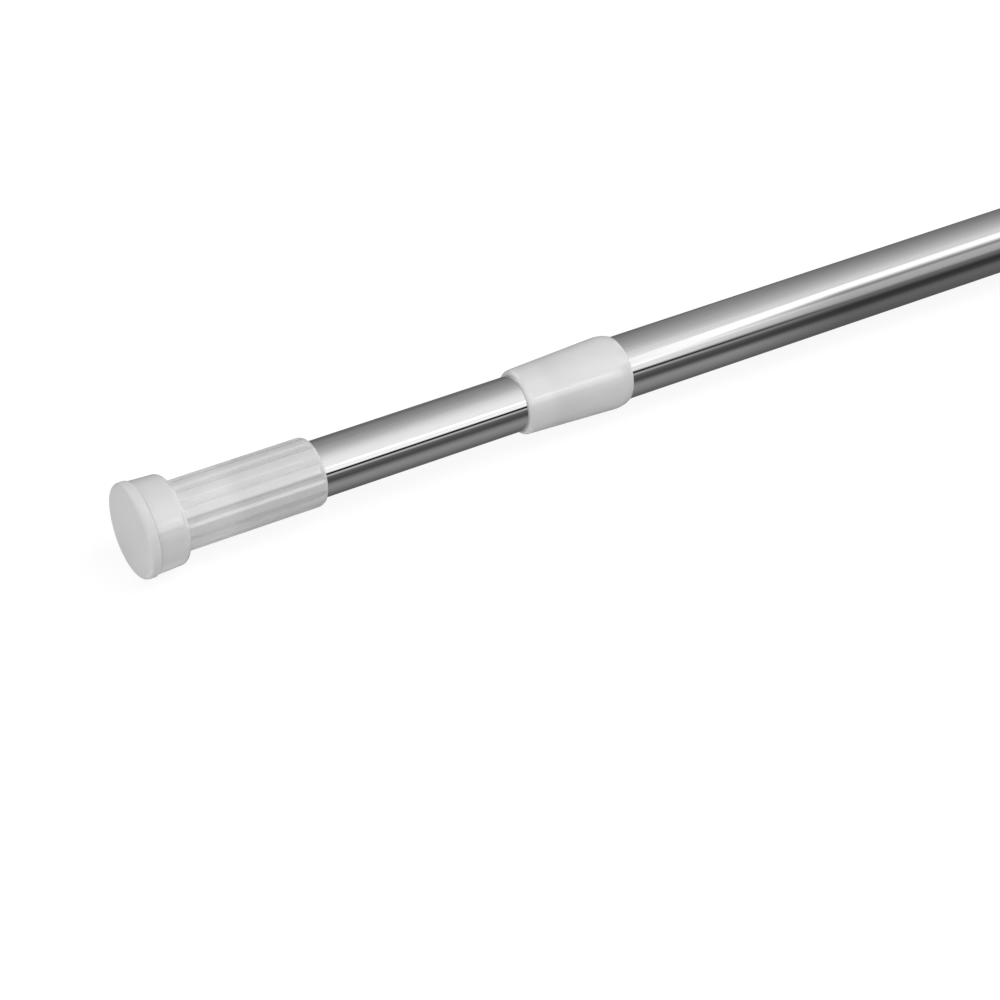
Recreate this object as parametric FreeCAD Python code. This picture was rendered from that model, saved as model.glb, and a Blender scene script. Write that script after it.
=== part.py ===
"""Spring tension rod: two telescoping tubes, held between two walls by a spring.

The rod lies along X. The origin is the middle of the outer end's foot face, which stands
against one wall, and +X runs along the rod to the inner tube's foot, which slides out to the
other wall. +Z is up. All sizes are in millimetres.

Turning the inner tube clockwise, seen from its own foot, screws a cone into split jaws inside
the outer tube and locks the length. The spring then lets the inner tube give way a little, so
that the rod can be pushed in between the walls and presses its feet against them.
"""
import FreeCAD, Part
import math
import os

# Tubes
OUTER_TUBE_DIAMETER = 25.0
OUTER_TUBE_WALL = 0.6
OUTER_TUBE_LENGTH = 565.0
INNER_TUBE_DIAMETER = 21.8
INNER_TUBE_WALL = 0.5
INNER_TUBE_LENGTH = 520.0
EXPOSED_LENGTH = 85.4

# Foot pads
PAD_THICKNESS = 4.2
PAD_DIAMETER = 36.3
PAD_RIM_ROUND = 1.8
PAD_BACK_ROUND = 0.5
PAD_STEM_DIAMETER = 9.0
PAD_BARB_LIP = 0.7
PAD_BARB_LENGTH = 2.0

# End caps: a wide head with a fluted sleeve that takes the tube's end
HEAD_LENGTH = 12.8
HEAD_FRONT_DIAMETER = 35.2
HEAD_BACK_DIAMETER = 34.3
HEAD_FRONT_ROUND = 0.4
HEAD_BACK_ROUND = 2.6
HEAD_WALL = 2.6
HEAD_WEB = 3.0
SLEEVE_LENGTH = 57.0
SLEEVE_WALL = 2.35
SLEEVE_END_ROUND_LENGTH = 2.7
SLEEVE_END_ROUND_DEPTH = 1.7
SLEEVE_CORE_STEP = 1.8
TUBE_SEAT_DEPTH = 36.0
FLUTE_COUNT = 12
FLUTE_ANGLE = 18.4
FLUTE_DEPTH = 0.5
FLUTE_WALL_DRAFT = 0.35
INNER_FLUTE_TURN = 22.0
OUTER_FLUTE_TURN = 7.0

# Collar on the outer tube's mouth, in which the inner tube slides
COLLAR_LENGTH = 46.1
COLLAR_GUIDE_LENGTH = 12.0
COLLAR_MOUTH_DIAMETER = 25.5
COLLAR_LARGE_DIAMETER = 28.75
COLLAR_MOUTH_ROUND = 1.5
COLLAR_TAIL_LENGTH = 6.0
COLLAR_TAIL_LIP = 0.25
COLLAR_TAIL_BULGE = 0.42

# Guide bush and spring stop inside the inner tube
BUSH_FLANGE = 3.0
BUSH_LENGTH = 22.0
BUSH_FLANGE_STEP = 0.3
RIVET_DIAMETER = 2.5
RIVET_DEPTH = 3.6
STOP_LENGTH = 16.0
STOP_NUB_DIAMETER = 12.0
STOP_NUB_LENGTH = 4.0
STOP_PIN_DIAMETER = 3.0

# Spring
SPRING_STROKE = 25.0
SPRING_LENGTH = 88.0
SPRING_WIRE = 2.0
SPRING_MEAN_DIAMETER = 15.2
SPRING_COILS = 11

# Spindle
SPINDLE_FLATS = 8.0
SPINDLE_TAIL_DIAMETER = 6.0
SPINDLE_TAIL_REST = 1.2
JOURNAL_DIAMETER = 7.8
THREAD_PITCH = 3.0
PLATE_DIAMETER = 18.8
PLATE_THICKNESS = 2.5
CLIP_THICKNESS = 0.8
CLIP_RING = 2.0
CLIP_GROOVE_DEPTH = 0.6
CLIP_GAP_ANGLE = 100.0
WASHER_THICKNESS = 1.0
WASHER_DIAMETER = 12.8

# Expander: jaws that a cone spreads against the outer tube's bore
EXPANDER_WALL = 5.0
EXPANDER_RING_LENGTH = 20.0
JAW_LENGTH = 26.0
JAW_SLOT = 2.6
JAW_SLOT_COUNT = 4
JAW_BORE_DIAMETER = 13.8
JAW_CONE_ANGLE = 6.0
CONE_LENGTH = 16.0
CONE_SETBACK = 2.0
CONE_KEY_MARGIN = 2.0
DRAG_RING_SECTION = 2.4
LOCK_TURNS = 1.0

# Clearances
PRESS_CLEARANCE = 0.05
SLIDE_CLEARANCE = 0.1
GUIDE_CLEARANCE = 0.2
AXIAL_CLEARANCE = 0.2
JAW_CLEARANCE = 0.15
DRAG_CLEARANCE = 0.05
KEY_CLEARANCE = 0.2
EXPANDER_GAP = 1.0
NUT_STOP_GAP = 0.5

# Radii that several pieces share
OUTER_RADIUS = OUTER_TUBE_DIAMETER / 2
OUTER_BORE = OUTER_RADIUS - OUTER_TUBE_WALL
INNER_RADIUS = INNER_TUBE_DIAMETER / 2
INNER_BORE = INNER_RADIUS - INNER_TUBE_WALL
PAD_RADIUS = PAD_DIAMETER / 2
STEM_RADIUS = PAD_STEM_DIAMETER / 2
TAIL_RADIUS = SPINDLE_TAIL_DIAMETER / 2
JOURNAL_RADIUS = JOURNAL_DIAMETER / 2
PLUG_RADIUS = INNER_BORE - PRESS_CLEARANCE
JAW_RADIUS = OUTER_BORE - JAW_CLEARANCE
JAW_BORE = JAW_BORE_DIAMETER / 2
CONE_SLOPE = math.tan(math.radians(JAW_CONE_ANGLE))
LOCK_TRAVEL = THREAD_PITCH * LOCK_TURNS

# Stations along the rod, from the outer foot to the inner foot
CAP_LENGTH = PAD_THICKNESS + HEAD_LENGTH + SLEEVE_LENGTH
OUTER_TUBE_START = CAP_LENGTH - TUBE_SEAT_DEPTH
OUTER_TUBE_END = OUTER_TUBE_START + OUTER_TUBE_LENGTH
COLLAR_MOUTH = OUTER_TUBE_END + COLLAR_GUIDE_LENGTH
INNER_SLEEVE_END = COLLAR_MOUTH + EXPOSED_LENGTH
INNER_TUBE_END = INNER_SLEEVE_END + TUBE_SEAT_DEPTH
ROD_LENGTH = INNER_SLEEVE_END + CAP_LENGTH

# Stations of the mechanism, from the inner tube's open end in towards the outer foot
INNER_TUBE_START = INNER_TUBE_END - INNER_TUBE_LENGTH
BUSH_INNER_FACE = INNER_TUBE_START + BUSH_LENGTH
PLATE_FACE = BUSH_INNER_FACE + AXIAL_CLEARANCE
PLATE_BACK = PLATE_FACE + PLATE_THICKNESS
SPRING_START = PLATE_BACK + SLIDE_CLEARANCE
SPRING_END = SPRING_START + SPRING_LENGTH
STOP_FACE = SPRING_END + SLIDE_CLEARANCE
STOP_MIDDLE = STOP_FACE + STOP_LENGTH / 2
EXPANDER_FRONT = INNER_TUBE_START - BUSH_FLANGE - SPRING_STROKE - EXPANDER_GAP
EXPANDER_SHOULDER = EXPANDER_FRONT - EXPANDER_WALL
JAW_ROOT = EXPANDER_FRONT - EXPANDER_RING_LENGTH
JAW_TIP = JAW_ROOT - JAW_LENGTH
WASHER_FACE = EXPANDER_SHOULDER - AXIAL_CLEARANCE
WASHER_BACK = WASHER_FACE - WASHER_THICKNESS
CONE_BACK = JAW_TIP + CONE_SETBACK
CONE_FRONT = CONE_BACK + CONE_LENGTH
NUT_CLIP_FACE = CONE_BACK - NUT_STOP_GAP
SPINDLE_TIP = NUT_CLIP_FACE - CLIP_THICKNESS - SPINDLE_TAIL_REST
SPINDLE_TAIL_TIP = PLATE_BACK + SLIDE_CLEARANCE + CLIP_THICKNESS + SPINDLE_TAIL_REST

ALONG = FreeCAD.Vector(1, 0, 0)
UP = FreeCAD.Vector(0, 0, 1)
ORIGIN = FreeCAD.Vector(0, 0, 0)
FULL_TURN = 360.0
OVERSHOOT = 1.0


def at(x, radius=0.0):
    """Point at a station along the rod and a distance from its axis."""
    return FreeCAD.Vector(x, radius, 0)


def bar(start, end, radius):
    """Round bar along the rod's axis from one station to another."""
    return Part.makeCylinder(radius, end - start, at(start), ALONG)


def ring(start, end, radius, bore):
    """Round ring along the rod's axis."""
    return bar(start, end, radius).cut(bar(start - OVERSHOOT, end + OVERSHOOT, bore))


def cone(start, end, start_radius, end_radius):
    """Round cone frustum along the rod's axis."""
    return Part.makeCone(start_radius, end_radius, end - start, at(start), ALONG)


def turned(edges):
    """Solid of revolution about the rod's axis, from the closed half section's edges."""
    face = Part.Face(Part.Wire(edges))
    solid = face.revolve(ORIGIN, ALONG, FULL_TURN)
    return solid


def line(start, end):
    """Straight edge of a half section."""
    return Part.LineSegment(start, end).toShape()


def quarter(start, end, centre):
    """Quarter of an ellipse whose axes lie along the rod and across it, as one edge.

    The quarter bulges away from the centre, from one of its points to the other.
    """
    half = math.sqrt(0.5)
    middle = centre + (start - centre) * half + (end - centre) * half
    along = abs((start - centre).x) + abs((end - centre).x)
    across = abs((start - centre).y) + abs((end - centre).y)
    if abs(along - across) < 1e-9:
        return Part.Arc(start, middle, end).toShape()
    curve = Part.BezierCurve()
    curve.setPoles([start, start + end - centre, end])
    curve.setWeight(2, half)
    return curve.toShape()


def hexagon(start, end, across_flats):
    """Hexagonal bar along the rod's axis."""
    corner = across_flats / 2 / math.cos(math.radians(30))
    points = [FreeCAD.Vector(start, corner * math.cos(math.radians(60 * side)),
                             corner * math.sin(math.radians(60 * side))) for side in range(7)]
    return Part.Face(Part.makePolygon(points)).extrude(ALONG * (end - start))


def about_axis(shape, angle):
    """Copy of a shape, turned about the rod's axis."""
    return shape.copy().rotate(ORIGIN, ALONG, angle)


def facing_back(shape):
    """Copy of an end piece, turned end for end onto the inner tube's end of the rod."""
    return shape.copy().rotate(ORIGIN, UP, FULL_TURN / 2).translate(at(ROD_LENGTH))


def foot_pad():
    """Soft foot: a disc with a rounded rim, held in the head by a barbed stem."""
    front = quarter(at(0, PAD_RADIUS - PAD_RIM_ROUND), at(PAD_RIM_ROUND, PAD_RADIUS),
                    at(PAD_RIM_ROUND, PAD_RADIUS - PAD_RIM_ROUND))
    back = quarter(at(PAD_THICKNESS - PAD_BACK_ROUND, PAD_RADIUS),
                   at(PAD_THICKNESS, PAD_RADIUS - PAD_BACK_ROUND),
                   at(PAD_THICKNESS - PAD_BACK_ROUND, PAD_RADIUS - PAD_BACK_ROUND))
    barb_start = PAD_THICKNESS + HEAD_WEB
    barb_end = barb_start + PAD_BARB_LENGTH
    disc = turned([
        line(at(0), at(0, PAD_RADIUS - PAD_RIM_ROUND)),
        front,
        line(at(PAD_RIM_ROUND, PAD_RADIUS), at(PAD_THICKNESS - PAD_BACK_ROUND, PAD_RADIUS)),
        back,
        line(at(PAD_THICKNESS, PAD_RADIUS - PAD_BACK_ROUND), at(PAD_THICKNESS, STEM_RADIUS)),
        line(at(PAD_THICKNESS, STEM_RADIUS), at(barb_start, STEM_RADIUS)),
        line(at(barb_start, STEM_RADIUS), at(barb_start, STEM_RADIUS + PAD_BARB_LIP)),
        line(at(barb_start, STEM_RADIUS + PAD_BARB_LIP), at(barb_end, STEM_RADIUS - PAD_BARB_LIP)),
        line(at(barb_end, STEM_RADIUS - PAD_BARB_LIP), at(barb_end)),
        line(at(barb_end), at(0)),
    ])
    return disc


def cap_body(sleeve_radius):
    """Outside of an end cap: tapered head, then the sleeve with its rounded end."""
    head_start = PAD_THICKNESS
    head_end = head_start + HEAD_LENGTH
    front = HEAD_FRONT_DIAMETER / 2
    rear = HEAD_BACK_DIAMETER / 2
    round_start = CAP_LENGTH - SLEEVE_END_ROUND_LENGTH
    end_radius = sleeve_radius - SLEEVE_END_ROUND_DEPTH
    return turned([
        line(at(head_start), at(head_start, front - HEAD_FRONT_ROUND)),
        quarter(at(head_start, front - HEAD_FRONT_ROUND), at(head_start + HEAD_FRONT_ROUND, front),
                at(head_start + HEAD_FRONT_ROUND, front - HEAD_FRONT_ROUND)),
        line(at(head_start + HEAD_FRONT_ROUND, front), at(head_end - HEAD_BACK_ROUND, rear)),
        quarter(at(head_end - HEAD_BACK_ROUND, rear), at(head_end, rear - HEAD_BACK_ROUND),
                at(head_end - HEAD_BACK_ROUND, rear - HEAD_BACK_ROUND)),
        line(at(head_end, rear - HEAD_BACK_ROUND), at(head_end, sleeve_radius)),
        line(at(head_end, sleeve_radius), at(round_start, sleeve_radius)),
        quarter(at(round_start, sleeve_radius), at(CAP_LENGTH, end_radius), at(round_start, end_radius)),
        line(at(CAP_LENGTH, end_radius), at(CAP_LENGTH)),
        line(at(CAP_LENGTH), at(head_start)),
    ])


def flute(sleeve_radius):
    """Cutter for one flute: a shallow channel along the sleeve with slightly drafted walls."""
    floor = sleeve_radius - FLUTE_DEPTH
    top = sleeve_radius + FLUTE_DEPTH
    half_top = math.radians(FLUTE_ANGLE / 2)
    half_floor = half_top - FLUTE_WALL_DRAFT / sleeve_radius
    head_end = PAD_THICKNESS + HEAD_LENGTH

    def corner(radius, angle):
        return FreeCAD.Vector(head_end, radius * math.cos(angle), radius * math.sin(angle))

    section = Part.Wire([
        line(corner(floor, -half_floor), corner(top, -half_top)),
        Part.Arc(corner(top, -half_top), corner(top, 0), corner(top, half_top)).toShape(),
        line(corner(top, half_top), corner(floor, half_floor)),
        Part.Arc(corner(floor, half_floor), corner(floor, 0), corner(floor, -half_floor)).toShape(),
    ])
    return Part.Face(section).extrude(ALONG * (SLEEVE_LENGTH + OVERSHOOT))


def end_cap(tube_radius, first_flute):
    """End cap: the tube seats on a step inside the sleeve, and the foot's stem snaps into the web."""
    bore = tube_radius + PRESS_CLEARANCE
    core = bore - SLEEVE_CORE_STEP
    sleeve_radius = bore + SLEEVE_WALL
    web_back = PAD_THICKNESS + HEAD_WEB
    seat = CAP_LENGTH - TUBE_SEAT_DEPTH
    cap = cap_body(sleeve_radius)
    cap = cap.cut(bar(seat, CAP_LENGTH + OVERSHOOT, bore))
    cap = cap.cut(bar(web_back, seat + OVERSHOOT, core))
    cap = cap.cut(bar(0, web_back + OVERSHOOT, STEM_RADIUS + PRESS_CLEARANCE))
    relief_radius = HEAD_BACK_DIAMETER / 2 - HEAD_WALL
    relief_depth = HEAD_LENGTH - HEAD_WALL
    if relief_radius > sleeve_radius:
        relief_end = PAD_THICKNESS + relief_depth
        cap = cap.cut(ring(PAD_THICKNESS - OVERSHOOT, relief_end, relief_radius, sleeve_radius))
    cutters = [about_axis(flute(sleeve_radius), first_flute + FULL_TURN / FLUTE_COUNT * place)
               for place in range(FLUTE_COUNT)]
    return cap.cut(cutters).removeSplitter()


def outer_tube():
    """Plated steel tube that stays with the outer foot."""
    return ring(OUTER_TUBE_START, OUTER_TUBE_END, OUTER_RADIUS, OUTER_BORE)


def inner_tube():
    """Plated steel tube that slides in the outer one, drilled for the rivets and the stop pin."""
    tube = ring(INNER_TUBE_START, INNER_TUBE_END, INNER_RADIUS, INNER_BORE)
    rivet_hole = cross_bar(rivet_station(), RIVET_DIAMETER / 2 + PRESS_CLEARANCE, INNER_TUBE_DIAMETER)
    pin_hole = cross_bar(STOP_MIDDLE, STOP_PIN_DIAMETER / 2 + PRESS_CLEARANCE, INNER_TUBE_DIAMETER)
    return tube.cut([rivet_hole, pin_hole])


def cross_bar(x, radius, length):
    """Round bar across the rod, upright, through its axis."""
    return Part.makeCylinder(radius, length, FreeCAD.Vector(x, 0, -length / 2), UP)


def collar():
    """Tapered collar: pushed over the outer tube's end, with a lip that guides the inner tube."""
    mouth = COLLAR_MOUTH
    tail = COLLAR_MOUTH - COLLAR_LENGTH
    tail_start = tail + COLLAR_TAIL_LENGTH
    mouth_radius = COLLAR_MOUTH_DIAMETER / 2
    large_radius = COLLAR_LARGE_DIAMETER / 2
    tail_radius = OUTER_RADIUS + COLLAR_TAIL_LIP
    taper = math.atan2(large_radius - mouth_radius, COLLAR_LENGTH - COLLAR_TAIL_LENGTH)
    lip_top = at(mouth - COLLAR_MOUTH_ROUND, mouth_radius)
    lip_front = at(mouth, mouth_radius - COLLAR_MOUTH_ROUND)
    shoulder = at(tail_start, large_radius)
    tail_tip = at(tail, tail_radius)
    pull = (shoulder - tail_tip).Length * COLLAR_TAIL_BULGE
    swell = Part.BezierCurve()
    swell.setPoles([
        shoulder,
        shoulder + FreeCAD.Vector(-pull * math.cos(taper), pull * math.sin(taper), 0),
        tail_tip + FreeCAD.Vector(0, (large_radius - tail_radius) * COLLAR_TAIL_BULGE, 0),
        tail_tip,
    ])
    body = turned([
        line(at(mouth), lip_front),
        quarter(lip_front, lip_top, at(mouth - COLLAR_MOUTH_ROUND, mouth_radius - COLLAR_MOUTH_ROUND)),
        line(lip_top, shoulder),
        swell.toShape(),
        line(tail_tip, at(tail)),
        line(at(tail), at(mouth)),
    ])
    body = body.cut(bar(tail - OVERSHOOT, OUTER_TUBE_END, OUTER_RADIUS + PRESS_CLEARANCE))
    return body.cut(bar(tail, mouth + OVERSHOOT, INNER_RADIUS + GUIDE_CLEARANCE))


def rivet_station():
    """Station of the rivets, half way along the bush inside the tube."""
    return (INNER_TUBE_START + BUSH_INNER_FACE) / 2


def guide_bush():
    """Bush in the inner tube's open end, with the hexagonal hole in which the spindle slides."""
    bush = bar(INNER_TUBE_START, BUSH_INNER_FACE, PLUG_RADIUS)
    flange = bar(INNER_TUBE_START - BUSH_FLANGE, INNER_TUBE_START, INNER_RADIUS - BUSH_FLANGE_STEP)
    hole = hexagon(INNER_TUBE_START - BUSH_FLANGE - OVERSHOOT, BUSH_INNER_FACE + OVERSHOOT,
                   SPINDLE_FLATS + 2 * SLIDE_CLEARANCE)
    seats = cross_bar(rivet_station(), RIVET_DIAMETER / 2 + PRESS_CLEARANCE, INNER_TUBE_DIAMETER)
    middle = bar(INNER_TUBE_START, BUSH_INNER_FACE, INNER_RADIUS - RIVET_DEPTH - PRESS_CLEARANCE)
    return bush.fuse(flange).cut(seats.cut(middle)).cut(hole).removeSplitter()


def bush_rivets():
    """Two short rivets that hold the bush, their heads flush with the tube's outside."""
    across = cross_bar(rivet_station(), RIVET_DIAMETER / 2, 2 * (INNER_RADIUS - PRESS_CLEARANCE))
    gap = cross_bar(rivet_station(), RIVET_DIAMETER, 2 * (INNER_RADIUS - RIVET_DEPTH))
    return across.cut(gap)


def stop_plug():
    """Plug pinned in the inner tube, against which the spring works."""
    plug = bar(STOP_FACE, STOP_FACE + STOP_LENGTH, PLUG_RADIUS)
    nub = bar(STOP_FACE - STOP_NUB_LENGTH, STOP_FACE, STOP_NUB_DIAMETER / 2)
    hole = cross_bar(STOP_MIDDLE, STOP_PIN_DIAMETER / 2 + PRESS_CLEARANCE, INNER_TUBE_DIAMETER)
    return plug.fuse(nub).cut(hole).removeSplitter()


def stop_pin():
    """Cross pin of the stop plug, flush with the tube's outside."""
    return cross_bar(STOP_MIDDLE, STOP_PIN_DIAMETER / 2, 2 * (INNER_RADIUS - PRESS_CLEARANCE))


def spring():
    """Compression spring with ends ground flat."""
    pitch = (SPRING_LENGTH + SPRING_WIRE) / SPRING_COILS
    mean_radius = SPRING_MEAN_DIAMETER / 2
    helix = Part.makeHelix(pitch, pitch * SPRING_COILS, mean_radius)
    start = FreeCAD.Vector(mean_radius, 0, 0)
    wire_circle = Part.Wire(Part.makeCircle(SPRING_WIRE / 2, start, FreeCAD.Vector(0, 1, 0)))
    coil = Part.Wire(helix.Edges).makePipeShell([wire_circle], True, True)
    coil = coil.rotate(ORIGIN, FreeCAD.Vector(0, 1, 0), FULL_TURN / 4)
    coil = coil.translate(at(SPRING_START - SPRING_WIRE / 2))
    return coil.common(bar(SPRING_START, SPRING_END, mean_radius + SPRING_WIRE))


def clip_groove(start, shaft_radius):
    """Cutter for a retaining clip's groove."""
    end = start + CLIP_THICKNESS
    return ring(start, end, shaft_radius + OVERSHOOT, shaft_radius - CLIP_GROOVE_DEPTH)


def clip(start, shaft_radius):
    """Open retaining clip that snaps into a groove."""
    bore = shaft_radius - CLIP_GROOVE_DEPTH + PRESS_CLEARANCE
    outside = shaft_radius + CLIP_RING
    blank = ring(start, start + CLIP_THICKNESS, outside, bore)
    half = math.radians(CLIP_GAP_ANGLE / 2)
    reach = outside + OVERSHOOT
    side = reach * math.tan(half)
    wedge = Part.makePolygon([
        FreeCAD.Vector(start, 0, 0),
        FreeCAD.Vector(start, side, reach),
        FreeCAD.Vector(start, -side, reach),
        FreeCAD.Vector(start, 0, 0),
    ])
    return blank.cut(Part.Face(wedge).extrude(ALONG * CLIP_THICKNESS))


def spindle():
    """Spindle: spring tail, hexagonal shaft, journal in the expander and screw for the cone."""
    hex_start = EXPANDER_FRONT + AXIAL_CLEARANCE
    shaft = hexagon(hex_start, PLATE_FACE, SPINDLE_FLATS)
    tail = bar(PLATE_FACE, SPINDLE_TAIL_TIP, TAIL_RADIUS)
    screw = bar(SPINDLE_TIP, hex_start, JOURNAL_RADIUS)
    grooves = [
        clip_groove(PLATE_BACK + SLIDE_CLEARANCE, TAIL_RADIUS),
        clip_groove(journal_clip_start(), JOURNAL_RADIUS),
        clip_groove(NUT_CLIP_FACE - CLIP_THICKNESS, JOURNAL_RADIUS),
    ]
    return shaft.fuse([tail, screw]).cut(grooves).removeSplitter()


def journal_clip_start():
    """Station of the clip that holds the spindle in the expander."""
    return WASHER_BACK - SLIDE_CLEARANCE - CLIP_THICKNESS


def spring_plate():
    """Plate that carries the spring's push to the spindle's shoulder."""
    return ring(PLATE_FACE, PLATE_BACK, PLATE_DIAMETER / 2, TAIL_RADIUS + PRESS_CLEARANCE)


def thrust_washer():
    """Washer between the expander's wall and the spindle's clip."""
    return ring(WASHER_BACK, WASHER_FACE, WASHER_DIAMETER / 2, JOURNAL_RADIUS + PRESS_CLEARANCE)


def jaw_bore_radius(x):
    """Radius of the jaws' tapered bore at a station."""
    return JAW_BORE + (JAW_ROOT - x) * CONE_SLOPE


def drag_groove():
    """Bottom radius of the groove that holds the drag ring."""
    return OUTER_BORE - DRAG_CLEARANCE - DRAG_RING_SECTION - PRESS_CLEARANCE


def expander():
    """Expander: a ring that turns on the spindle, with four slotted jaws."""
    body = bar(JAW_TIP, EXPANDER_FRONT, JAW_RADIUS)
    core = bar(JAW_ROOT, EXPANDER_SHOULDER, JAW_BORE)
    taper = cone(JAW_TIP, JAW_ROOT, jaw_bore_radius(JAW_TIP), JAW_BORE)
    hole = bar(JAW_ROOT, EXPANDER_FRONT + OVERSHOOT, JOURNAL_RADIUS + SLIDE_CLEARANCE)
    groove_middle = (EXPANDER_FRONT + EXPANDER_SHOULDER) / 2
    half_groove = DRAG_RING_SECTION / 2 + PRESS_CLEARANCE
    groove = ring(groove_middle - half_groove, groove_middle + half_groove,
                  JAW_RADIUS + OVERSHOOT, drag_groove())
    body = body.cut([core, taper, hole, groove])
    return body.cut(slots(JAW_SLOT, JAW_TIP - OVERSHOOT, JAW_ROOT, JAW_RADIUS + OVERSHOOT))


def slots(width, start, end, reach):
    """Radial blades, evenly spaced about the axis: cutters for slots, or keys that run in them."""
    blade = Part.makeBox(end - start, reach, width, FreeCAD.Vector(start, 0, -width / 2))
    return [about_axis(blade, FULL_TURN / JAW_SLOT_COUNT * place) for place in range(JAW_SLOT_COUNT)]


def drag_ring():
    """Rubber ring that keeps the expander from turning with the spindle."""
    section = DRAG_RING_SECTION / 2
    middle = (EXPANDER_FRONT + EXPANDER_SHOULDER) / 2
    return Part.makeTorus(OUTER_BORE - DRAG_CLEARANCE - section, section, at(middle), ALONG)


def cone_nut():
    """Threaded cone with keys in the jaws' slots: it travels along the screw and spreads the jaws."""
    def radius(x):
        return jaw_bore_radius(x + LOCK_TRAVEL) - SLIDE_CLEARANCE

    body = cone(CONE_BACK, CONE_FRONT, radius(CONE_BACK), radius(CONE_FRONT))
    key_reach = JAW_RADIUS - KEY_CLEARANCE
    keys = slots(JAW_SLOT - 2 * KEY_CLEARANCE, CONE_BACK, CONE_FRONT - CONE_KEY_MARGIN, key_reach)
    keys = [key.common(bar(CONE_BACK, CONE_FRONT, key_reach)) for key in keys]
    bore = bar(CONE_BACK - OVERSHOOT, CONE_FRONT + OVERSHOOT, JOURNAL_RADIUS + SLIDE_CLEARANCE)
    return body.fuse(keys).cut(bore).removeSplitter()


def build():
    """Every piece of the rod, by the name of its node."""
    inner_cap = facing_back(end_cap(INNER_RADIUS, FULL_TURN / 2 - INNER_FLUTE_TURN))
    return {
        "outer_tube": outer_tube(),
        "collar": collar(),
        "outer_end_cap": end_cap(OUTER_RADIUS, OUTER_FLUTE_TURN),
        "outer_foot_pad": foot_pad(),
        "inner_tube": inner_tube(),
        "inner_end_cap": inner_cap,
        "inner_foot_pad": facing_back(foot_pad()),
        "guide_bush": guide_bush(),
        "bush_rivets": bush_rivets(),
        "stop_plug": stop_plug(),
        "stop_pin": stop_pin(),
        "spring": spring(),
        "spindle": spindle(),
        "spring_plate": spring_plate(),
        "plate_clip": clip(PLATE_BACK + SLIDE_CLEARANCE, TAIL_RADIUS),
        "journal_clip": clip(journal_clip_start(), JOURNAL_RADIUS),
        "nut_clip": clip(NUT_CLIP_FACE - CLIP_THICKNESS, JOURNAL_RADIUS),
        "thrust_washer": thrust_washer(),
        "expander": expander(),
        "drag_ring": drag_ring(),
        "cone_nut": cone_nut(),
    }


os.makedirs("parts", exist_ok=True)
for name, shape in build().items():
    shape.exportStep("parts/" + name + ".step")
    print(name, shape.isValid(), len(shape.Solids), round(shape.Volume, 1))
print("rod length at rest", round(ROD_LENGTH, 2))
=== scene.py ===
"""Looks of the spring tension rod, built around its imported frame.

X runs along the rod, from the outer foot to the inner foot, and +Z is up. All sizes are in metres.
An angle around the rod is measured from +Y, the photograph's side, towards +Z.
"""

import logging
import math
from collections.abc import Callable, Mapping, Sequence
from dataclasses import dataclass, field
from enum import Enum
from typing import Any

import bmesh
import bpy
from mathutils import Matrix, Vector


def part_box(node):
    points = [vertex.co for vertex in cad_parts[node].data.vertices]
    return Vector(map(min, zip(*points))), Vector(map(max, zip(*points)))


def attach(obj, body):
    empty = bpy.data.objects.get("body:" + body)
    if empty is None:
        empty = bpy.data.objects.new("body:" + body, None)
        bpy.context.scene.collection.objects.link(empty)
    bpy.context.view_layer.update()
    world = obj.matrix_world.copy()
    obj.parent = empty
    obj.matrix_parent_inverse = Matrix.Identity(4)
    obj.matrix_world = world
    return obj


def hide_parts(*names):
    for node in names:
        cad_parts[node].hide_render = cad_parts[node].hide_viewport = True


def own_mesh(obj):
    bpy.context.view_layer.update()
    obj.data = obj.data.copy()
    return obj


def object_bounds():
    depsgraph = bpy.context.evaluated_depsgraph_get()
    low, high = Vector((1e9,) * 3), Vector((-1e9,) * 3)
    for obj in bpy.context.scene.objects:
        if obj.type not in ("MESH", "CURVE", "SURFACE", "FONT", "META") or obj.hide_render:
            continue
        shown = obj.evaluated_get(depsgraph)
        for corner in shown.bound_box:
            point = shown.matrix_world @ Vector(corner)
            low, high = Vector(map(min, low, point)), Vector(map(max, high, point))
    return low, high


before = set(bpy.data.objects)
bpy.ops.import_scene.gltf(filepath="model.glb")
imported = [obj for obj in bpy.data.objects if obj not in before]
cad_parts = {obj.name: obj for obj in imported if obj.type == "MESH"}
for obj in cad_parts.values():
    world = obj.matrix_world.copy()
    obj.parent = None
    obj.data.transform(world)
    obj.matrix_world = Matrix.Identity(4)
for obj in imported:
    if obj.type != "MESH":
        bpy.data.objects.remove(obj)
CAD_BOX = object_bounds()

MM = 0.001
TINY = 1e-6
HAIR = 0.01 * MM
PAD_THICKNESS = 4.2 * MM
CREASE_DEGREES = 40.0
WIDE_NOISE = (0.3, 0.7)
NARROW_NOISE = (0.35, 0.65)
LOG = logging.getLogger("tension_rod")

Piece = bpy.types.Object
Material = bpy.types.Material
Socket = bpy.types.NodeSocket
Pair = tuple[float, float]
Colour = tuple[float, float, float]


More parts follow.
